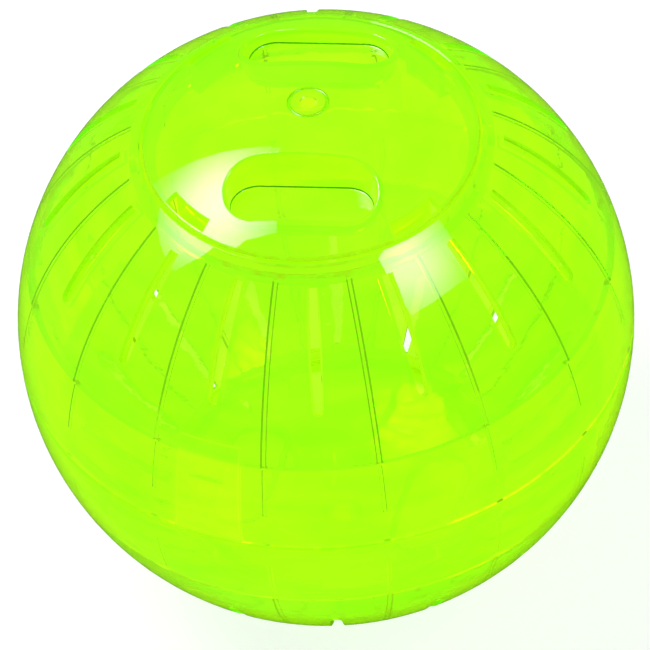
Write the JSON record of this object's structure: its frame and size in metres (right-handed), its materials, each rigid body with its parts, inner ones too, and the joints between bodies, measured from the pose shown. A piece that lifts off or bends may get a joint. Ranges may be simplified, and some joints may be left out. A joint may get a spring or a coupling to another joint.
{
  "type": "hamster ball",
  "caption": "Clear exercise ball for a hamster: slotted half shells snapped together at the equator, round twist-lock doors with finger pockets.",
  "frame": {"origin": "centre of the ball", "axes": "+Z out through the middle of the upper door, -Y to the front through one of the vents; the upper door's two finger pockets lie on a line turned 5 degrees from it"},
  "size_m": [0.178, 0.178, 0.178],
  "materials": {
    "half_shell": "clear fluorescent green, polished moulding",
    "door": "clear fluorescent green, polished moulding"
  },
  "bodies": {
    "lower_half": {"lower_half_shell": "half_shell"},
    "upper_half": {"upper_half_shell": "half_shell"},
    "upper_door": {"upper_door": "door"},
    "lower_door": {"lower_door": "door"}
  },
  "joints": [
    {"name": "halves_pull_apart", "type": "slide", "parent": "lower_half", "child": "upper_half", "axis": [0, 0, 1], "range_m": [0, 0.12]},
    {"name": "upper_door_lift", "type": "slide", "parent": "upper_half", "child": "upper_door", "axis": [0, 0, 1], "range_m": [0, 0.08]},
    {"name": "lower_door_twist", "type": "hinge", "parent": "lower_half", "child": "lower_door", "pos_m": [0, 0, -0.07], "axis": [0, 0, -1], "range_deg": [0, 25]}
  ]
}
